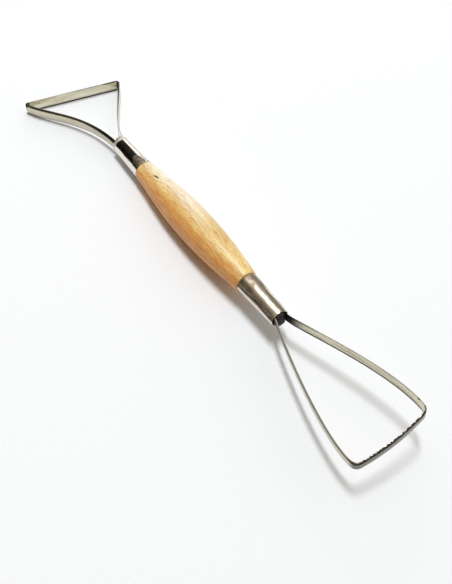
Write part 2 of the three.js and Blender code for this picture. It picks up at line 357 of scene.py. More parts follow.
# %% Nickel plate: tarnish, and painted reflections on the dull ferrule
BLOTCH_MM = (6.25, 3.333, 3.333)
BLOTCH_SHIFT = (7.3, 1.1, 4.0)
GRIP_TARNISH_AND_REFLECTION_MM = (-12, -24)
DARK_REFLECTION_FACING = (0.022, -0.953, -0.302)
DARK_REFLECTION_FOOT_MM = (1.8, 2.8)
DARK_REFLECTION_TOP_MM = (3.91, 3.41)
DARK_REFLECTION_WANDER_MM = 0.5
BRIGHT_REFLECTION_FROM_MM = (4.5, 3.9)

nickel, tree, shader = new_material("worn_nickel_plate")
stock = node(tree, "Attribute", attribute_name="stock").outputs["Vector"]
polish_and_highlight = node(tree, "Attribute", attribute_name="polish_and_highlight").outputs["Fac"]
unpolished = combine(tree, "SUBTRACT", 1, polish_and_highlight)
blotch_map = node(tree, "Mapping", {"Vector": stock, "Scale": per_mm(BLOTCH_MM), "Location": BLOTCH_SHIFT})
blotches = node(tree, "TexNoise", {"Vector": blotch_map, "Scale": 1.0, "Detail": 5.0, "Roughness": 0.62})
tarnish = node(tree, "ValToRGB", {"Fac": blotches}, stops=[(0.42, "#000000"), (0.66, "#FFFFFF")])
tube = node(tree, "SeparateXYZ", {0: stock}).outputs["X"]
# Towards the grip the dull ferrule darkens: partly tarnish, partly a painted reflection of the wooden grip.
tarnish_and_reflection_by_grip = node(tree, "MapRange", {"Value": tube, **limits("From", GRIP_TARNISH_AND_REFLECTION_MM), "To Max": 0.5})
# A painted dark reflection lies in a stripe on the side that faces down and to the front. Beside it, nearer
# the floor, the tarnish is held off as a painted bright reflection.
dark_reflection_side = node(tree, "VectorMath", {0: stock, 1: DARK_REFLECTION_FACING}, operation="DOT_PRODUCT").outputs["Value"]
off_bright_reflection = node(tree, "MapRange", {"Value": dark_reflection_side, **limits("From", BRIGHT_REFLECTION_FROM_MM)})
tarnish_and_reflection_share = combine(tree, "MULTIPLY", combine(tree, "ADD", tarnish, tarnish_and_reflection_by_grip), unpolished, off_bright_reflection)
plate_colour = node(tree, "MixRGB", {"Fac": tarnish_and_reflection_share, "Color1": linear("#EEE7DB"), "Color2": linear("#A6967D")})

dark_reflection_wander = node(
    tree,
    "MapRange",
    {"Value": blotches, **limits("From", (0.3, 0.7)), **limits("To", (-DARK_REFLECTION_WANDER_MM, DARK_REFLECTION_WANDER_MM))},
)
dark_reflection_height = combine(tree, "ADD", dark_reflection_side, dark_reflection_wander)
dark_reflection_top = node(tree, "MapRange", {"Value": dark_reflection_height, **limits("From", DARK_REFLECTION_TOP_MM)})
dark_reflection_foot = node(tree, "MapRange", {"Value": dark_reflection_height, **limits("From", DARK_REFLECTION_FOOT_MM)})
# The painted dark reflection, only on the dull ferrule.
dark_reflection = combine(tree, "MULTIPLY", dark_reflection_top, dark_reflection_foot, unpolished)
dark_reflected = node(tree, "MixRGB", {"Fac": dark_reflection, "Color1": plate_colour, "Color2": linear("#4E4439")})
print("nickel tarnish:", len(tree.nodes), "nodes")

# %% [markdown]
# Beside the wood the plate has a brown, matt patch, a painted reflection of the wooden grip that it mirrors
# there. The bright ferrule is also rubbed matt in a ring at its mouth.
# The die left faint scratches along the tube, and use has left shallow dents. Smoothness does most of the
# work, because the plate has to mirror the room. Real scratches are finer than 0.1 mm, and are drawn 0.25
# mm wide so that they show.

# %% Nickel plate: painted reflection of the grip, matt ring, scratches and dents
MOTTLE_MM = (1.6, 1.6, 1.6)
WOOD_REFLECTION_MIDDLE_MM = (-23.5, 1.2, 5.5)
WOOD_REFLECTION_REACH_MM = (5.5, 3.2, 3)
MATT_RING_MM = (-2.6, -2.2)
SCRATCH_MM = (10, 0.25, 0.25)
DENT_MM = (5, 2.4, 2.4)

mottle_map = node(tree, "Mapping", {"Vector": stock, "Scale": per_mm(MOTTLE_MM)})
mottle = node(tree, "TexNoise", {"Vector": mottle_map, "Scale": 1.0, "Detail": 3.0, "Roughness": 0.7})
speckled = node(tree, "MapRange", {"Value": mottle, **limits("From", (0.35, 0.6)), "To Min": 0.5})
wood_reflection_share = node(tree, "MapRange", {"Value": polish_and_highlight, **limits("To", (0.45, 1))})
# The brown spot beside the wood is a painted reflection of the grip.
wood_reflection_spot = spot(tree, stock, WOOD_REFLECTION_MIDDLE_MM, WOOD_REFLECTION_REACH_MM)
wood_reflection_patch = combine(tree, "MULTIPLY", wood_reflection_spot, speckled, wood_reflection_share)
wood_reflected = node(tree, "MixRGB", {"Fac": wood_reflection_patch, "Color1": dark_reflected, "Color2": linear("#564420")})
rubbed = node(tree, "MapRange", {"Value": tube, **limits("From", MATT_RING_MM)})
matt_ring = combine(tree, "MULTIPLY", rubbed, polish_and_highlight)

scratch_map = node(tree, "Mapping", {"Vector": stock, "Scale": per_mm(SCRATCH_MM)})
scratches = node(tree, "TexNoise", {"Vector": scratch_map, "Scale": 1.0, "Detail": 4.0})
dent_map = node(tree, "Mapping", {"Vector": stock, "Scale": per_mm(DENT_MM)})
dents = node(tree, "TexNoise", {"Vector": dent_map, "Scale": 1.0, "Detail": 1.0})
dented = node(tree, "Bump", {"Height": dents, "Strength": 1.0, "Distance": 0.12 * MM})
scratched = node(
    tree, "Bump", {"Height": scratches, "Strength": 0.3, "Distance": 0.05 * MM, "Normal": dented}
)
# Roughness is a sum: tarnish, scratches, the haze of an unpolished tube, and the matt places.
dulled = combine(
    tree,
    "ADD",
    node(tree, "MapRange", {"Value": tarnish_and_reflection_share, **limits("To", (0.08, 0.24))}),
    combine(tree, "MULTIPLY", scratches, 0.12),
    combine(tree, "MULTIPLY", unpolished, 0.09),
    combine(tree, "MULTIPLY", combine(tree, "MAXIMUM", wood_reflection_patch, matt_ring), 0.42),
)
connect(tree, shader, {"Base Color": wood_reflected, "Metallic": 1.0, "Roughness": dulled, "Normal": scratched})
print("nickel plate:", len(tree.nodes), "nodes")

# %% [markdown]
# ## Ground steel strip
#
# The loops are spring steel strip, rolled bright, so its faces are a soft grey with faint lines along it.
# The two rims are ground to an edge on the outside. The strip carries its own coordinates, because a
# pattern on plain X, Y and Z would break up where the strip bends: distance along it, depth through it and
# height across it, all in millimetres. It carries polish as well, with a painted highlight in it on one leg
# of the wide loop, and a value below zero makes a part duller. The end edge of the long loop, which does
# most of the cutting, is stained grey.

# %% Ground steel: bare faces
STRIP_WIDTH = 6.4
STRIP_THICKNESS = 0.8
STRIP_BEVEL = 0.75
STRIP_LAND = 0.35
SPECK_MM = (0.75, 0.5, 0.5)
FACE_MM = (16.67, 2.5, 2.5)
OUTER_DEPTH_MM = (0.12, 0.02)
CUTTING_EDGE_MM = (72.5, 74.5)

strip_steel, tree, shader = new_material("ground_spring_steel")
strip = node(tree, "Attribute", attribute_name="strip").outputs["Vector"]
stock = node(tree, "Attribute", attribute_name="stock").outputs["Vector"]
polish_and_highlight = node(tree, "Attribute", attribute_name="polish_and_highlight").outputs["Fac"]
_, depth, height = node(tree, "SeparateXYZ", {0: strip}).outputs
reach, side, _ = node(tree, "SeparateXYZ", {0: stock}).outputs
outer_face = node(tree, "MapRange", {"Value": depth, **limits("From", OUTER_DEPTH_MM)})
cutting_edge = node(tree, "MapRange", {"Value": reach, **limits("From", CUTTING_EDGE_MM)})

speck_map = node(tree, "Mapping", {"Vector": strip, "Scale": per_mm(SPECK_MM)})
specks = node(tree, "TexNoise", {"Vector": speck_map, "Scale": 1.0, "Detail": 2.0})
face_map = node(tree, "Mapping", {"Vector": strip, "Scale": per_mm(FACE_MM)})
face_noise = node(tree, "TexNoise", {"Vector": face_map, "Scale": 1.0, "Detail": 4.0})
grit = node(tree, "MapRange", {"Value": specks, **limits("To", (-0.25, 0.25))})
face_tone = combine(tree, "ADD", face_noise, grit, polish_and_highlight)
inner_colour = node(
    tree, "ValToRGB", {"Fac": face_tone}, stops=[(0.05, "#A8A28F"), (0.35, "#CFC8AF"), (0.65, "#E6E0CC")]
)
outer_colour = node(
    tree, "ValToRGB", {"Fac": face_tone}, stops=[(0.05, "#928C7B"), (0.35, "#BAB39D"), (0.65, "#CFC8B3")]
)
stained = node(tree, "MixRGB", {"Fac": cutting_edge, "Color1": outer_colour, "Color2": linear("#75716A")})
dull = node(tree, "MixRGB", {"Fac": outer_face, "Color1": inner_colour, "Color2": stained})
bare = node(tree, "MixRGB", {"Fac": polish_and_highlight, "Color1": dull, "Color2": linear("#F6F1E6")})
print("bare steel:", len(tree.nodes), "nodes")

# %% [markdown]
# Clay polishes what it slides over, and damp blackens the rest. Rust creeps out of the mouth along the
# upper bevel. The lower rim, on which the tool lies, is darker too, and so is the thin flat on top of the
# upper rim, except on one leg, where the paler flat is a painted highlight. Rust also covers the inner face
# by the mouth, and a few places at the corners; one mark in a corner's bend is a painted dark reflection.
# Each of these is a mask, and the darkest one holds.

# %% Ground steel: rust, and where it is darker
CREEP_REACH_MM = (26, 0)
CREEP_HEIGHT_MM = (0.5, 1.9)
BEVEL_START = STRIP_WIDTH / 2 - STRIP_BEVEL
LOWER_RIM_MM = (-2.4, -2.7)
TOP_FLAT_MM = (3.1, 3.17)
TOP_FLAT_HIGHLIGHT_SIDE_MM = (2, 8)
MOUTH_RUST_MM = (11, 3)
# Each stain has a middle, a reach and, if it is slanted, a turn in degrees.
STAINS_AND_DARK_REFLECTION_MM = [
    ((69.4, 20.4, 3.2), (0.7, 0.7, 0.7)),
    ((73.7, 20.1, 3.2), (0.8, 0.8, 0.8)),
    # This vertical mark at the wide loop's short corner is a painted dark reflection in the inner bend, not
    # rust.
    ((45.7, -25.4, 0), (1.5, 1.5, 4)),
    ((47.5, -21.1, 3.2), (6, 1.2, 0.7), 77.5),
    ((57.9, 28.4, 1.8), (1.7, 1.7, 1.8)),
]

creep = node(
    tree, "MapRange", {"Value": reach, **limits("From", CREEP_REACH_MM), **limits("To", CREEP_HEIGHT_MM)}
)
# The black climbs the bevel: how high a point lies, and how far the rust has crept, together decide.
edge_creep = combine(tree, "MULTIPLY", cutting_edge, 0.35)
wobble = node(tree, "MapRange", {"Value": specks, **limits("To", (-0.4, 0.4))})
climb = combine(tree, "ADD", height, creep, edge_creep, wobble)
bevel = node(tree, "MapRange", {"Value": climb, **limits("From", (BEVEL_START - 0.1, BEVEL_START + 0.05))})
upper_dark = combine(tree, "MULTIPLY", bevel, outer_face)
# A rubbed leg has lost the black of its lower rim, so polish lifts the height there.
rim_height = combine(tree, "ADD", height, combine(tree, "MULTIPLY", polish_and_highlight, 3))
# The strip is made darker all along its lower rim.
lower_rim_dark = node(tree, "MapRange", {"Value": rim_height, **limits("From", LOWER_RIM_MM)})
top_flat = node(tree, "MapRange", {"Value": height, **limits("From", TOP_FLAT_MM)})
# On the leg at positive Y the top flat is left paler, a painted highlight where the lamp catches it.
flat_side = node(
    tree, "MapRange", {"Value": side, **limits("From", TOP_FLAT_HIGHLIGHT_SIDE_MM), **limits("To", (1, 0.6))}
)
top_dark = combine(tree, "MULTIPLY", top_flat, combine(tree, "MAXIMUM", flat_side, cutting_edge))
ragged = node(tree, "MapRange", {"Value": specks, **limits("To", (-2.5, 2.5))})
by_mouth = node(
    tree, "MapRange", {"Value": combine(tree, "ADD", reach, ragged), **limits("From", MOUTH_RUST_MM)}
)
mouth_dark = combine(tree, "MULTIPLY", by_mouth, combine(tree, "SUBTRACT", 1, outer_face))
stains_and_dark_reflection = [spot(tree, stock, *stain) for stain in STAINS_AND_DARK_REFLECTION_MM]
darkened = combine(tree, "MAXIMUM", upper_dark, lower_rim_dark, top_dark, mouth_dark, *stains_and_dark_reflection)
covered = combine(tree, "MULTIPLY", darkened, combine(tree, "SUBTRACT", 1, polish_and_highlight))
print("rust:", len(STAINS_AND_DARK_REFLECTION_MM), "stains,", len(tree.nodes), "nodes")

# %% [markdown]
# Cutting has broken the black of the long loop's end edge with bright specks. The rolling lines are really
# some hundredths of a millimetre apart, and are drawn a third of a millimetre wide so that they show.

# %% Ground steel: bright specks and rolling lines
UPPER_HALF_MM = (0.5, 1.5)
ROLLED_MM = (16.67, 1 / 3, 1 / 3)

cut_bright = node(tree, "ValToRGB", {"Fac": specks}, stops=[(0.5, "#000000"), (0.6, "#E0E0E0")])
upper_half = node(tree, "MapRange", {"Value": height, **limits("From", UPPER_HALF_MM)})
bright = combine(tree, "MULTIPLY", cut_bright, cutting_edge, upper_half)
black_share = combine(tree, "MULTIPLY", covered, combine(tree, "SUBTRACT", 1, bright))
black = node(tree, "ValToRGB", {"Fac": creep}, stops=[(0.3, "#3F362C"), (1.0, "#15110D")])
strip_colour = node(tree, "MixRGB", {"Fac": black_share, "Color1": bare, "Color2": black})
rolled_map = node(tree, "Mapping", {"Vector": strip, "Scale": per_mm(ROLLED_MM)})
rolled = node(tree, "TexNoise", {"Vector": rolled_map, "Scale": 1.0, "Detail": 4.0})
strip_rough = node(tree, "MapRange", {"Value": rolled, **limits("To", (0.2, 0.36))})
rust_rough = combine(tree, "ADD", strip_rough, combine(tree, "MULTIPLY", black_share, 0.3))
lines = node(tree, "Bump", {"Height": rolled, "Strength": 0.2, "Distance": 0.04 * MM})
connect(tree, shader, {"Base Color": strip_colour, "Metallic": 1.0, "Roughness": rust_rough, "Normal": lines})
print("strip steel:", len(tree.nodes), "nodes")

# %% [markdown]
# ## Dark wedge wood, partly painted shade
#
# Each wedge is a sliver of dark hardwood. It is nearly black, with a dull skin and open end grain, and its
# black is partly painted shade for the shaded mouth of the ferrule.

# %% Dark hardwood, partly painted shade
WEDGE_GRAIN_MM = (3.33, 0.455, 0.455)

wedge_wood, tree, shader = new_material("dark_hardwood_and_shade")
stock = node(tree, "Attribute", attribute_name="stock").outputs["Vector"]
wedge_map = node(tree, "Mapping", {"Vector": stock, "Scale": per_mm(WEDGE_GRAIN_MM)})
wedge_noise = node(tree, "TexNoise", {"Vector": wedge_map, "Scale": 1.0, "Detail": 4.0})
# Near black: the wood's own dark tone, with painted shade for the shaded mouth of the ferrule.
wedge_colour = node(tree, "ValToRGB", {"Fac": wedge_noise}, stops=[(0.35, "#15110D"), (0.7, "#33291F")])
end_grain = node(tree, "Bump", {"Height": wedge_noise, "Strength": 0.4, "Distance": 0.1 * MM})
connect(tree, shader, {"Base Color": wedge_colour, "Roughness": 0.75, "IOR": 1.5, "Normal": end_grain})
print("wedge wood:", len(tree.nodes), "nodes")

# %% [markdown]
# ## Turning and softening
#
# Everything round on this tool was turned or drawn, and a spin of its profile about the X axis is the same
# operation. Real edges are never perfectly sharp, so the ones that show get a small bevel.

# %% Turn a profile, and soften edges
TURN_STEPS = 96


def turned(profile, steps=TURN_STEPS, closed=False):
    bm = bmesh.new()
    ring = [bm.verts.new((x, 0, radius)) for x, radius in profile]
    edges = [bm.edges.new(pair) for pair in zip(ring, ring[1:])]
    if closed:
        edges.append(bm.edges.new((ring[-1], ring[0])))
    bmesh.ops.spin(
        bm,
        geom=ring + edges,
        cent=(0, 0, 0),
        axis=(1, 0, 0),
        angle=math.tau,
        steps=steps,
        use_merge=True,
    )
    bmesh.ops.remove_doubles(bm, verts=bm.verts, dist=1e-4)
    bmesh.ops.recalc_face_normals(bm, faces=bm.faces)
    return bm


def soften(bm, edges, offset, segments):
    bmesh.ops.bevel(
        bm, geom=edges, offset=offset, segments=segments, profile=0.5, affect="EDGES", material=-1
    )
    print("softened", len(edges), "edges by", offset, "mm")


print("a turned piece has", TURN_STEPS, "steps")

# %% [markdown]
# ## Finishing a piece
#
# The grain and the tarnish have to stay with the piece, however it lies. So the finishing function first
# stores each vertex's place in the piece's own millimetres, and its polish, which on one loop also carries a
# painted highlight, from a small function that the piece may bring. Only then is the piece laid on the
# bench. Faces that meet at less than 38 degrees are shaded as one.

# %% Finish a piece
SMOOTH_BELOW = math.radians(38)


def finish_piece(bm, name, place, material, cad_node, polish_and_highlight_at=lambda point: 0):
    stock_layer = bm.verts.layers.float_vector.new("stock")
    polish_and_highlight_layer = bm.verts.layers.float.new("polish_and_highlight")
    for vertex in bm.verts:
        vertex[stock_layer] = vertex.co
        vertex[polish_and_highlight_layer] = polish_and_highlight_at(vertex.co)
    bm.transform(place)
    mesh = bpy.data.meshes.new(name)
    bm.to_mesh(mesh)
    bm.free()
    mesh.shade_smooth()
    mesh.set_sharp_from_angle(angle=SMOOTH_BELOW)
    mesh.materials.append(material)
    made = bpy.data.objects.new(name, mesh)
    bpy.context.collection.objects.link(made)
    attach(made, "root")
    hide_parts(cad_node)
    print(name, len(mesh.polygons), "faces")


print("smooth below", round(math.degrees(SMOOTH_BELOW)), "degrees")

# %% [markdown]
# ## The grip
#
# A hand wants a barrel that is fullest in the middle. This one is turned between centres, falls slowly to
# the wide loop and faster to the long one, and ends in a small rounded shoulder, a little proud of the
# ferrule. Two Bezier curves meet at the belly with a level tangent, so the barrel has no flat and no ridge.

# %% The barrel's profile
GRIP_RADIUS = 9.5
BELLY_OFFSET = 1
SHOULDER_RADIUS = 6.0
BARREL_STATIONS = 60


def barrel_half(end, slope, belly_pull, end_pull):
    length = end - BELLY_OFFSET
    rise = abs(length * end_pull) * math.tan(math.radians(slope))
    return geometry.interpolate_bezier(
        Vector((BELLY_OFFSET, GRIP_RADIUS)),
        Vector((BELLY_OFFSET + length * belly_pull, GRIP_RADIUS)),
        Vector((end - length * end_pull, SHOULDER_RADIUS + rise)),
        Vector((end, SHOULDER_RADIUS)),
        BARREL_STATIONS,
    )


half = GRIP_LENGTH / 2
long_half = barrel_half(half, slope=8, belly_pull=0.16, end_pull=0.53)
wide_half = barrel_half(-half, slope=0, belly_pull=0.46, end_pull=0.19)
print("barrel", 2 * GRIP_RADIUS, "mm thick,", GRIP_LENGTH, "mm long")

# %% [markdown]
# Past each shoulder a hidden, tapered tenon fills the ferrule. The whole profile, from one tenon's tip over
# the barrel to the other's, is turned in one go, as on the lathe.

# %% Shoulders, tenons and the finished grip
SHOULDER_ROUND = 0.7
SHOULDER_ANGLES = (0.3, 0.6, 0.9, 1.2, math.pi / 2)
FERRULE_RADIUS_AT_GRIP = 5.7
FERRULE_RADIUS_AT_MOUTH = 4.8
FERRULE_WALL = 0.45
TENON_SETBACK = 7
TENON_TIP = MOUTH - TENON_SETBACK


# The end by the long loop is out at 1, and the end by the wide loop at -1.
def grip_end(out):
    end = out * half
    centre = Vector((end - out * SHOULDER_ROUND, SHOULDER_RADIUS - SHOULDER_ROUND))
    shoulder = [
        centre + SHOULDER_ROUND * Vector((out * math.sin(angle), math.cos(angle)))
        for angle in SHOULDER_ANGLES
    ]
    return shoulder + [
        Vector((end, FERRULE_RADIUS_AT_GRIP - FERRULE_WALL - FIT)),
        Vector((out * TENON_TIP, FERRULE_RADIUS_AT_MOUTH - FERRULE_WALL - FIT)),
        Vector((out * TENON_TIP, 0)),
    ]


barrel = [p for p in wide_half[:0:-1] + long_half if abs(p.x) < half - SHOULDER_ROUND]
grip = turned(grip_end(-1)[::-1] + barrel + grip_end(1))
finish_piece(grip, "beech_grip", tool_frame, beech, "handle")

# %% [markdown]
# ## The ferrules
#
# A ferrule is a short tapered tube. It could be a cone with a Solidify modifier, but a spin of its closed
# wall gives the tube, its bore and its two softened rims in one go.

# %% Ferrules
FERRULE_STATIONS = 12
FERRULE_RIM_ROUND = 0.12


def ferrule_shell():
    taper = (FERRULE_RADIUS_AT_MOUTH - FERRULE_RADIUS_AT_GRIP) / FERRULE_LENGTH
    lengths = [-FERRULE_LENGTH * i / FERRULE_STATIONS for i in range(FERRULE_STATIONS + 1)]
    outer = [(x, FERRULE_RADIUS_AT_MOUTH + taper * x) for x in lengths]
    inner = [(x, radius - FERRULE_WALL) for x, radius in reversed(outer)]
    bm = turned(outer + inner, closed=True)
    rims = [e for e in bm.edges if e.calc_face_angle(0) > math.radians(60)]
    soften(bm, rims, FERRULE_RIM_ROUND, 3)
    return bm


finish_piece(ferrule_shell(), "long_ferrule_tube", long_end, nickel, "long_loop_ferrule")
finish_piece(
    ferrule_shell(),
    "wide_ferrule_tube",
    wide_end,
    nickel,
    "wide_loop_ferrule",
    polish_and_highlight_at=lambda point: 1,
)

# %% [markdown]
# ## The path of a loop
#
# The maker bends each loop on edge round a former. The path is a chain of curves: tang, leg, corner, end
# edge, corner, leg, tang. The two tangs sit as far apart as the bore of the ferrule lets the strip's flats
# go. The legs of a loop differ, so each side has its own values: how far its corner reaches and spreads,
# and the angle and the pull of its leg's curve at the mouth and at the corner.

# %% Path of a loop
LAND_OFFSET = math.sqrt((FERRULE_RADIUS_AT_MOUTH - FERRULE_WALL - FIT) ** 2 - (STRIP_WIDTH / 2) ** 2)
TANG_OFFSET = LAND_OFFSET + STRIP_THICKNESS / 2 - STRIP_LAND
TANG_SETBACK = 5
TANG_LENGTH = FERRULE_LENGTH - TANG_SETBACK
MOUTH_BEND = 2
MOUTH_STATIONS = 8
LEG_STATIONS = 36
CORNER_STATIONS = 10
EDGE_STATIONS = 24


def heading(angle, side):
    return Vector((math.cos(math.radians(angle)), side * math.sin(math.radians(angle)), 0))


def bend(start, corner, end, count):
    return geometry.interpolate_bezier(start, start.lerp(corner, 2 / 3), end.lerp(corner, 2 / 3), end, count)


# One side of a loop lies at side -1, and the other at side 1.
def loop_side(side, corner_bend, reach, spread, mouth_angle, mouth_pull, corner_angle, corner_pull):
    mouth = Vector((0, side * TANG_OFFSET, 0))
    corner = Vector((reach, side * spread, 0))
    out, into = heading(mouth_angle, side), heading(corner_angle, side)
    bend_start = mouth - Vector((MOUTH_BEND, 0, 0))
    bend_end = mouth + out * MOUTH_BEND
    corner_start = corner - into * corner_bend
    span = (corner_start - bend_end).length
    leg = geometry.interpolate_bezier(
        bend_end,
        bend_end + out * span * mouth_pull,
        corner_start - into * span * corner_pull,
        corner_start,
        LEG_STATIONS,
    )
    tang_end = Vector((-TANG_LENGTH, mouth.y, 0))
    return [tang_end] + bend(bend_start, mouth, bend_end, MOUTH_STATIONS) + leg[1:], corner


def loop_path(first, second, corner_bend, bow):
    near, near_corner = loop_side(-1, corner_bend, **first)
    far, far_corner = loop_side(1, corner_bend, **second)
    crown = (near_corner + far_corner) / 2 + Vector((2 * bow, 0, 0))
    edge_start = near_corner + (crown - near_corner).normalized() * corner_bend
    edge_end = far_corner + (crown - far_corner).normalized() * corner_bend
    return (
        near[:-1]
        + bend(near[-1], near_corner, edge_start, CORNER_STATIONS)
        + bend(edge_start, crown, edge_end, EDGE_STATIONS)[1:-1]
        + bend(edge_end, far_corner, far[-1], CORNER_STATIONS)
        + far[-2::-1]
    )


print("tangs are", round(2 * TANG_OFFSET, 2), "mm apart")

# %% [markdown]
# ## The strip on its path
#
# The strip's section is drawn once at the first tang, and its outline is extruded from one station of the
# path to the next, turning with it. That keeps the strip's thickness and its ground bevels true through the
# tight corners, which bending a finished ribbon with a Curve modifier would not. Each vertex notes how far
# along the strip it lies, which is where the steel's pattern gets its coordinates. Only the edges that run
# along the strip are softened, and not the sawn ends, which are hidden.

# %% Sweep the strip along a path
HALF_WIDTH = STRIP_WIDTH / 2
HALF_THICKNESS = STRIP_THICKNESS / 2
STRIP_SECTION = [
    (HALF_THICKNESS, -HALF_WIDTH),
    (HALF_THICKNESS, HALF_WIDTH),
    (HALF_THICKNESS - STRIP_LAND, HALF_WIDTH),
    (-HALF_THICKNESS, HALF_WIDTH - STRIP_BEVEL),
    (-HALF_THICKNESS, STRIP_BEVEL - HALF_WIDTH),
    (HALF_THICKNESS - STRIP_LAND, -HALF_WIDTH),
]
STRIP_RIM_ROUND = 0.05


def stations(path):
    placed = []
    for i, here in enumerate(path):
        forward = (path[min(i + 1, len(path) - 1)] - path[max(i - 1, 0)]).normalized()
        left = Vector((-forward.y, forward.x, 0))
        turn = Matrix((forward, left, (0, 0, 1))).transposed().to_4x4()
        placed.append(Matrix.Translation(here) @ turn)
    return placed


def swept_strip(path):
    places = stations(path)
    bm = bmesh.new()
    strip_layer = bm.verts.layers.float_vector.new("strip")
    ring = [bm.verts.new(places[0] @ Vector((0, y, z))) for y, z in STRIP_SECTION]
    for vertex, (y, z) in zip(ring, STRIP_SECTION):
        vertex[strip_layer] = (0, y, z)
    edges = [bm.edges.new(pair) for pair in zip(ring, ring[1:] + ring[:1])]
    bm.faces.new(ring)
    run = 0
    for here, there in zip(places, places[1:]):
        run += (there.translation - here.translation).length
        fresh = bmesh.ops.extrude_edge_only(bm, edges=edges)["geom"]
        ring = [g for g in fresh if isinstance(g, bmesh.types.BMVert)]
        edges = [g for g in fresh if isinstance(g, bmesh.types.BMEdge) and all(v in ring for v in g.verts)]
        bmesh.ops.transform(bm, matrix=there @ here.inverted(), verts=ring)
        back = there.inverted()
        for vertex in ring:
            vertex[strip_layer] = Vector((run, 0, 0)) + back @ vertex.co
    bmesh.ops.holes_fill(bm, edges=edges, sides=0)
    bmesh.ops.recalc_face_normals(bm, faces=bm.faces)
    sharp = [e for e in bm.edges if e.calc_face_angle(0) > math.radians(25)]
    level = [e for e in sharp if abs(e.verts[0].co.z - e.verts[1].co.z) < 0.1]
    soften(bm, level, STRIP_RIM_ROUND, 2)
    print("strip", round(run, 1), "mm long")
    return bm


print("strip section has", len(STRIP_SECTION), "corners")

# %% [markdown]
# ## Where the loops are rubbed bright, and a painted highlight
#
# In a loop's own millimetres X runs out of its mouth, and Y tells one leg from the other. The long loop's
# fuller leg is a little brighter than its straighter one. On the wide loop mostly the short leg is bright,
# most of all by the mouth, where its near-white is partly polish and partly a painted highlight. The raked
# end edge is dull.

# %% Polish of the two loops, with a painted highlight
WIDE_EDGE_RAKE = 0.22
WIDE_EDGE_FROM = 50.5


def fade(value, start, end):
    return min(max((value - start) / (end - start), 0), 1)


def long_loop_polish(point):
    leg_polish = 0.3 if point.y < 0 else -0.2
    return leg_polish * fade(point.x, 74, 71)


# The short leg's near-white by the mouth is partly polish and partly a painted highlight.
def wide_loop_polish_and_highlight(point):
    if point.x - WIDE_EDGE_RAKE * point.y > WIDE_EDGE_FROM:
        return -0.05
    if point.y > 0:
        return 0.08 * fade(point.x, 8, 22)
    return 1 - 0.9 * fade(point.x, 8, 38)


print("short leg's polish at 20 mm:", round(wide_loop_polish_and_highlight(Vector((20, -5, 0))), 2))

# %% [markdown]
# ## The two loops
#
# The long loop is a pear with a slightly bowed end edge. The wide one is a triangle with a straight, raked
# end edge, because one of its legs is shorter than the other.

# %% Loops
LONG_FULL_SIDE = dict(
    reach=75.6, spread=19.35, mouth_angle=20.5, mouth_pull=0.24, corner_angle=-5.1, corner_pull=0.226
)
LONG_STRAIGHT_SIDE = dict(
    reach=75, spread=20.1, mouth_angle=11.1, mouth_pull=0.134, corner_angle=-3, corner_pull=0.317
)
WIDE_SHORT_SIDE = dict(
    reach=46.4, spread=26, mouth_angle=6.6, mouth_pull=0.22, corner_angle=30, corner_pull=0.35
)
WIDE_LONG_SIDE = dict(
    reach=58.7, spread=29.4, mouth_angle=5.5, mouth_pull=0.495, corner_angle=23.5, corner_pull=0.26
)
long_path = loop_path(LONG_FULL_SIDE, LONG_STRAIGHT_SIDE, corner_bend=3.1, bow=1.4)
wide_path = loop_path(WIDE_SHORT_SIDE, WIDE_LONG_SIDE, corner_bend=2.2, bow=0)
finish_piece(
    swept_strip(long_path),
    "long_strip_loop",
    long_end,
    strip_steel,
    "long_loop",
    polish_and_highlight_at=long_loop_polish,
)
finish_piece(
    swept_strip(wide_path),
    "wide_strip_loop",
    wide_end,
    strip_steel,
    "wide_loop",
    polish_and_highlight_at=wide_loop_polish_and_highlight,
)

# %% [markdown]
# ## The wedges
#
# Each wedge is a round plug with two flats sawn on it for the strip ends. Two cuts through a turned plug
# make the flats, as the saw did.

# %% Wedges
WEDGE_PROUD = 1.2
WEDGE_STEPS = 64
WEDGE_EDGE_ROUND = 0.2
WEDGE_HALF_THICKNESS = TANG_OFFSET - STRIP_THICKNESS / 2 - FIT


def wedge_plug():
    radius = FERRULE_RADIUS_AT_MOUTH - FERRULE_WALL - FIT
    start = FIT - TENON_SETBACK
    bm = turned([(start, 0), (start, radius), (WEDGE_PROUD, radius), (WEDGE_PROUD, 0)], WEDGE_STEPS)
    for side in (-1, 1):
        cut = bmesh.ops.bisect_plane(
            bm,
            geom=bm.verts[:] + bm.edges[:] + bm.faces[:],
            plane_co=(0, side * WEDGE_HALF_THICKNESS, 0),
            plane_no=(0, side, 0),
            clear_outer=True,
        )
        bmesh.ops.holes_fill(bm, edges=[g for g in cut["geom_cut"] if isinstance(g, bmesh.types.BMEdge)])
    corners = [e for e in bm.edges if e.calc_face_angle(0) > math.radians(30)]
    soften(bm, corners, WEDGE_EDGE_ROUND, 3)
    bmesh.ops.recalc_face_normals(bm, faces=bm.faces)
    return bm


finish_piece(wedge_plug(), "long_mouth_wedge", long_end, wedge_wood, "long_loop_wedge")
finish_piece(wedge_plug(), "wide_mouth_wedge", wide_end, wedge_wood, "wide_loop_wedge")

# %% [markdown]
# ## The floor
#
# The tool lies on plain white card. A single matt plane does for it, with a faint tooth of about 1 mm, a
# little coarser than on real card so that it shows.

# %% Floor
FLOOR_REACH = 1.6
TOOTH_PER_METRE = 900

card, tree, shader = new_material("white_card")
card_place = node(tree, "TexCoord").outputs["Object"]
tooth = node(tree, "TexNoise", {"Vector": card_place, "Scale": TOOTH_PER_METRE, "Detail": 2.0})
tooth_colour = node(tree, "ValToRGB", {"Fac": tooth}, stops=[(0.3, "#EFF2F5"), (0.7, "#F3F6F9")])
connect(tree, shader, {"Base Color": tooth_colour, "Roughness": 0.9, "Specular IOR Level": 0.1})

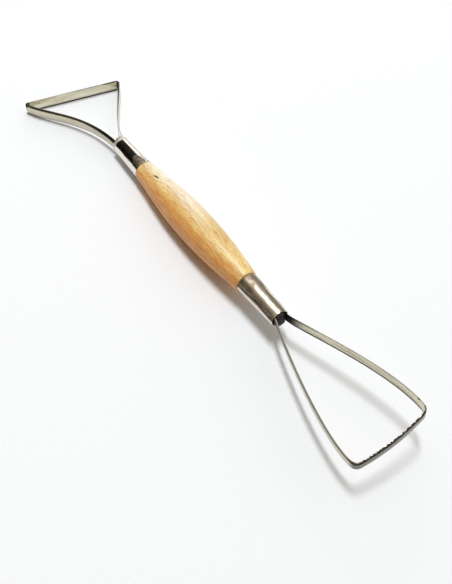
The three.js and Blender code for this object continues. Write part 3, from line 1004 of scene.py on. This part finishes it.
floor_bm = bmesh.new()
bmesh.ops.create_grid(floor_bm, x_segments=8, y_segments=8, size=FLOOR_REACH)
floor_mesh = bpy.data.meshes.new("floor")
floor_bm.to_mesh(floor_mesh)
floor_bm.free()
floor_mesh.materials.append(card)
floor = bpy.data.objects.new("floor", floor_mesh)
bpy.context.collection.objects.link(floor)
print("floor", 2 * FLOOR_REACH, "m wide")

# %% [markdown]
# ## The lamps
#
# The key is a long roof window, nearly overhead: the shadow of a leg that runs along the window's length is
# sharp, and that of an edge that runs across it is soft. A lamp nearer the tool gives the metal its pale
# highlight, and a window at the far left lights the far side of the barrel. Each lamp is given by its
# radiance, which is how bright its face looks, so that it can be made larger without changing what the
# metal mirrors.

# %% Lamps
KEY_DIRECTION = (-0.196, 0.123, 0.973)


def lamp(name, towards, distance, size, radiance, colour):
    data = bpy.data.lights.new(name, "AREA")
    data.shape = "ELLIPSE"
    data.size, data.size_y = size
    # With this energy the lamp's face is as bright as its radiance says, whatever its size.
    area = math.pi / 4 * size[0] * size[1]
    data.energy = radiance * math.pi * area
    data.color = linear(colour)[:3]
    made = bpy.data.objects.new(name, data)
    direction = Vector(towards).normalized()
    facing = direction.to_track_quat("Z", "Y").to_matrix().to_4x4()
    made.matrix_world = Matrix.Translation(direction * distance) @ facing
    bpy.context.collection.objects.link(made)
    print(name, round(data.energy, 2), "W")


lamp("key", KEY_DIRECTION, distance=3.0, size=(0.46, 1.3), radiance=41.5, colour="#FAFCFF")
lamp("overhead", (-0.41, -0.04, 0.912), distance=1.0, size=(0.42, 0.42), radiance=0.9, colour="#FFFDF8")
lamp("window", (-0.73, 0.61, 0.3), distance=1.2, size=(0.6, 0.5), radiance=1.4, colour="#FBFCFF")

# %% [markdown]
# ## The room
#
# Light from the room fills the rest, and is brightest on the window's side and round the key. What the
# metal mirrors is set apart from that: a dim room with one dark side, which is what makes plated steel look
# like steel. The World shader can tell the two apart by the kind of ray that asks, and the camera itself
# sees plain pale card beyond the floor.

# %% Room
WINDOW_SIDE = (-0.3, 0.95, 0.25)
DARK_SIDE = (-0.85, -0.15, 0)

world = bpy.data.worlds.new("dim_room")
world.use_nodes = True
bpy.context.scene.world = world
tree = world.node_tree
outwards = node(tree, "TexCoord").outputs["Generated"]
upwards = node(tree, "SeparateXYZ", {0: outwards}).outputs["Z"]
to_window, to_key, to_dark = (
    node(tree, "VectorMath", {0: outwards, 1: side}, operation="DOT_PRODUCT").outputs["Value"]
    for side in (WINDOW_SIDE, KEY_DIRECTION, DARK_SIDE)
)

window_share = node(tree, "MapRange", {"Value": to_window, **limits("From", (-0.35, 0.55))})
near_side = node(tree, "ValToRGB", {"Fac": upwards}, stops=[(0.45, "#6A6156"), (0.65, "#1E1B17")])
skylight = node(tree, "MixRGB", {"Fac": window_share, "Color1": near_side, "Color2": linear("#DAD3C9")})
glow_share = node(tree, "MapRange", {"Value": to_key, **limits("From", (0.8, 0.94))})
glow = node(tree, "MixRGB", {"Fac": glow_share, "Color1": linear("#000000"), "Color2": linear("#404141")})
lighting = node(tree, "MixRGB", {"Fac": 1.0, "Color1": skylight, "Color2": glow}, blend_type="ADD")

wall = node(tree, "ValToRGB", {"Fac": upwards}, stops=[(0.0, "#5C5144"), (0.4, "#766958"), (0.9, "#B0A490")])
lit_share = node(
    tree, "MapRange", {"Value": to_dark, **limits("From", (0.46, 0.58)), **limits("To", (1, 0.02))}
)
mirrored = node(tree, "MixRGB", {"Fac": lit_share, "Color1": linear("#000000"), "Color2": wall})

ray_kind = node(tree, "LightPath").outputs
unseen = node(tree, "MixRGB", {"Fac": ray_kind["Is Glossy Ray"], "Color1": lighting, "Color2": mirrored})
seen = node(tree, "MixRGB", {"Fac": ray_kind["Is Camera Ray"], "Color1": unseen, "Color2": linear("#F7F7F7")})
connect(tree, tree.nodes["Background"], {"Color": seen})
bpy.context.scene.view_settings.view_transform = "Standard"
print("room:", len(tree.nodes), "nodes")
